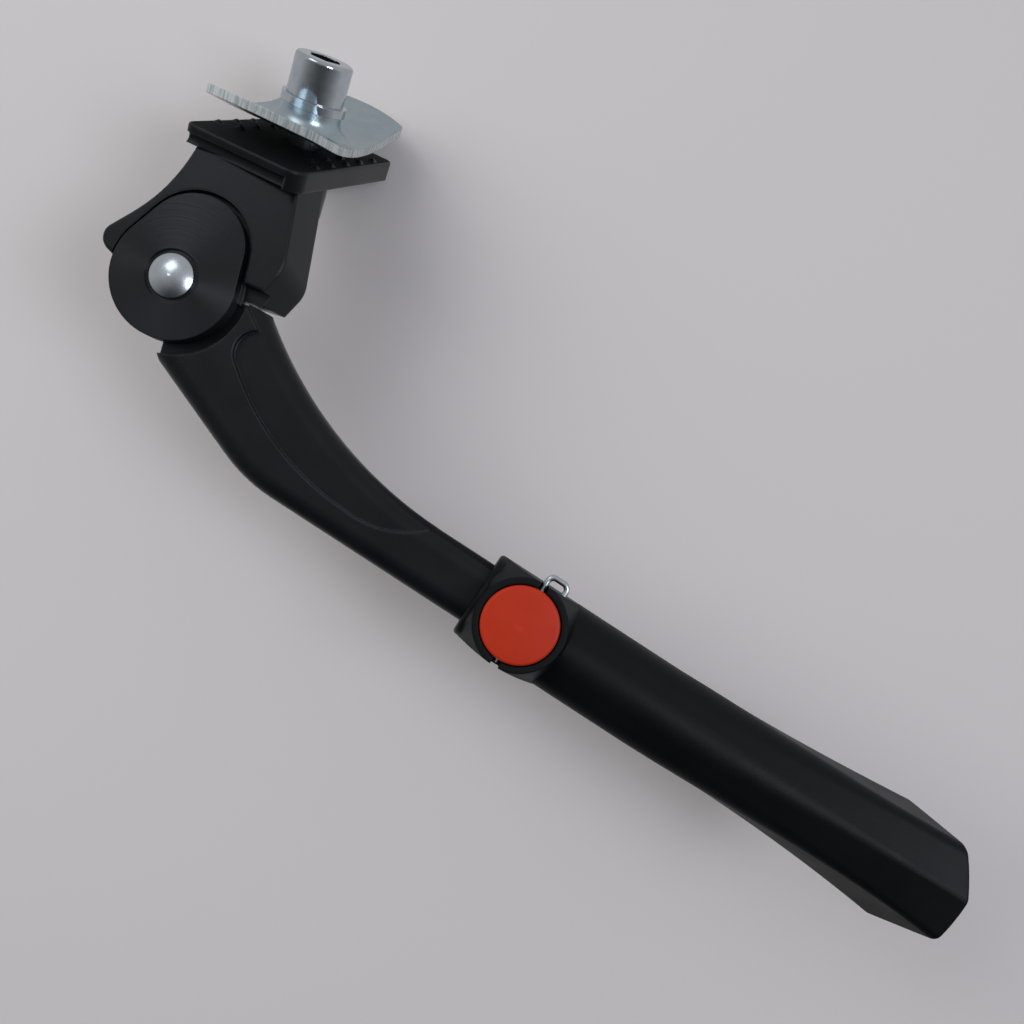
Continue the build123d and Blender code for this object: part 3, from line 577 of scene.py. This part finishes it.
# Camera
# It looks straight down on the part from close by, rolled so that the leg runs to the lower right,
# with a fairly wide lens.
FOCAL_PIXELS = 1050
PICTURE_PIXELS = 1024
SENSOR = 36.0
NEAREST_SEEN = 0.01
EYE = (0.1367, -0.2787, 0.0669)
toward = Vector((0.1312, -0.8855, 0.4456)).normalized()
right = Vector((0.885, 0.3072, 0.35))
above = toward.cross(right).normalized()
right = above.cross(toward).normalized()
camera = bpy.data.objects.new("camera", bpy.data.cameras.new("camera"))
camera.data.sensor_width = SENSOR
camera.data.lens = SENSOR * FOCAL_PIXELS / PICTURE_PIXELS
camera.data.clip_start = NEAREST_SEEN
turned = Matrix((right, above, toward)).transposed().to_4x4()
camera.matrix_world = Matrix.Translation(EYE) @ turned
bpy.context.scene.collection.objects.link(camera)
bpy.context.scene.camera = camera

# Table
# A pale matte sheet that the part lies on, just clear of the bracket's back. A view from behind and
# what the part mirrors pass through it to the room, which is as pale there.
TABLE_SIZE = 3.0
TABLE_TOUCH = Vector((0.0, 0.0286, -0.0056))
TABLE_GAP = 1.0 * MM
TABLE_TIP_RIGHT = 0.05
TABLE_TIP_BELOW = 0.06
TABLE_DULL = 0.9
TABLE_GREY = "#D0CBCA"
table_out = (toward + right * TABLE_TIP_RIGHT - above * TABLE_TIP_BELOW).normalized()
across = above.cross(table_out).normalized()
along = table_out.cross(across).normalized()
bpy.ops.mesh.primitive_plane_add(size=TABLE_SIZE)
table = bpy.context.object
table.name = "table"
laid = Matrix((across, along, table_out)).transposed().to_4x4()
table.matrix_world = Matrix.Translation(TABLE_TOUCH - table_out * TABLE_GAP) @ laid
pale = bpy.data.materials.new("pale_matte_sheet")
pale.use_nodes = True
tree = pale.node_tree
tree.nodes.remove(tree.nodes["Principled BSDF"])
sheet = add(
    tree, "ShaderNodeBsdfPrincipled", {"Base Color": srgb(TABLE_GREY), "Roughness": TABLE_DULL}
)
clear = add(tree, "ShaderNodeBsdfTransparent")
behind = add(tree, "ShaderNodeNewGeometry").outputs["Backfacing"]
mirrored = add(tree, "ShaderNodeLightPath").outputs["Is Glossy Ray"]
passed = add(tree, "ShaderNodeMath", {0: behind, 1: mirrored}, operation="MAXIMUM")
close(tree, add(
    tree, "ShaderNodeMixShader",
    {0: passed.outputs["Value"], 1: sheet.outputs[0], 2: clear.outputs[0]},
))
table.data.materials.append(pale)

# Light
# A plain room, dim only on the side below the picture, with a soft lamp at the upper left for the
# shadows and two ceiling panels near overhead that show as sheen on the black parts.
ROOM_COLOUR = "#F0EFF2"
ROOM_LEVEL = 0.52
DIM_SIDE_LEVEL = 0.04
DIM_ENDS, BRIGHT_STARTS = -0.95, -0.15  # along the bright side's direction
BACKDROP_LEVEL = 0.6
LAMP_WHITE = "#FFFFFF"
LAMP_SIZE = 0.8
LAMP_POWER = 6.8
PANEL_BLUE_WHITE = "#EBF3FF"
UPPER_PANEL_SIZE = 0.45
UPPER_PANEL_POWER = 1.3
RIGHT_PANEL_SIZE = 0.4
RIGHT_PANEL_POWER = 3.2
MIDDLE = Vector((0.08, -0.03, -0.03))
bright_side = right * 0.2 + above * 0.98 - toward * 0.35
lamp_offset = toward * 0.75 - right * 0.76 + above * 0.49
upper_offset = toward * 0.80 - right * 0.30 + above * 0.60
right_offset = toward * 0.80 + right * 0.58 - above * 0.18


def lamp(name, offset, size, power, colour, shines):
    """Square soft lamp that faces the part's middle; shines says if glossy surfaces show it."""
    data = bpy.data.lights.new(name, "AREA")
    data.size = size
    data.energy = power
    data.color = srgb(colour)[:3]
    holder = bpy.data.objects.new(name, data)
    holder.location = MIDDLE + offset
    holder.rotation_euler = (-offset).to_track_quat("-Z", "Y").to_euler()
    holder.visible_glossy = shines
    bpy.context.scene.collection.objects.link(holder)


lamp("upper_left_lamp", lamp_offset, LAMP_SIZE, LAMP_POWER, LAMP_WHITE, False)
lamp("upper_panel", upper_offset, UPPER_PANEL_SIZE, UPPER_PANEL_POWER, PANEL_BLUE_WHITE, True)
lamp("right_panel", right_offset, RIGHT_PANEL_SIZE, RIGHT_PANEL_POWER, PANEL_BLUE_WHITE, True)
world = bpy.data.worlds.new("room")
bpy.context.scene.world = world
world.use_nodes = True
tree = world.node_tree
ray = add(tree, "ShaderNodeTexCoord").outputs["Generated"]
side = add(
    tree, "ShaderNodeVectorMath", {0: ray, 1: tuple(bright_side)}, operation="DOT_PRODUCT"
)
strength = add(
    tree, "ShaderNodeMapRange",
    {
        "Value": side.outputs["Value"],
        "From Min": DIM_ENDS,
        "From Max": BRIGHT_STARTS,
        "To Min": DIM_SIDE_LEVEL,
        "To Max": ROOM_LEVEL,
    },
)
seen = add(tree, "ShaderNodeLightPath").outputs["Is Camera Ray"]
level = add(
    tree, "ShaderNodeMapRange",
    {"Value": seen, "To Min": strength.outputs["Result"], "To Max": BACKDROP_LEVEL},
)
room = tree.nodes["Background"]
room.inputs["Color"].default_value = srgb(ROOM_COLOUR)
tree.links.new(level.outputs["Result"], room.inputs["Strength"])
bpy.context.scene.view_settings.view_transform = "Standard"
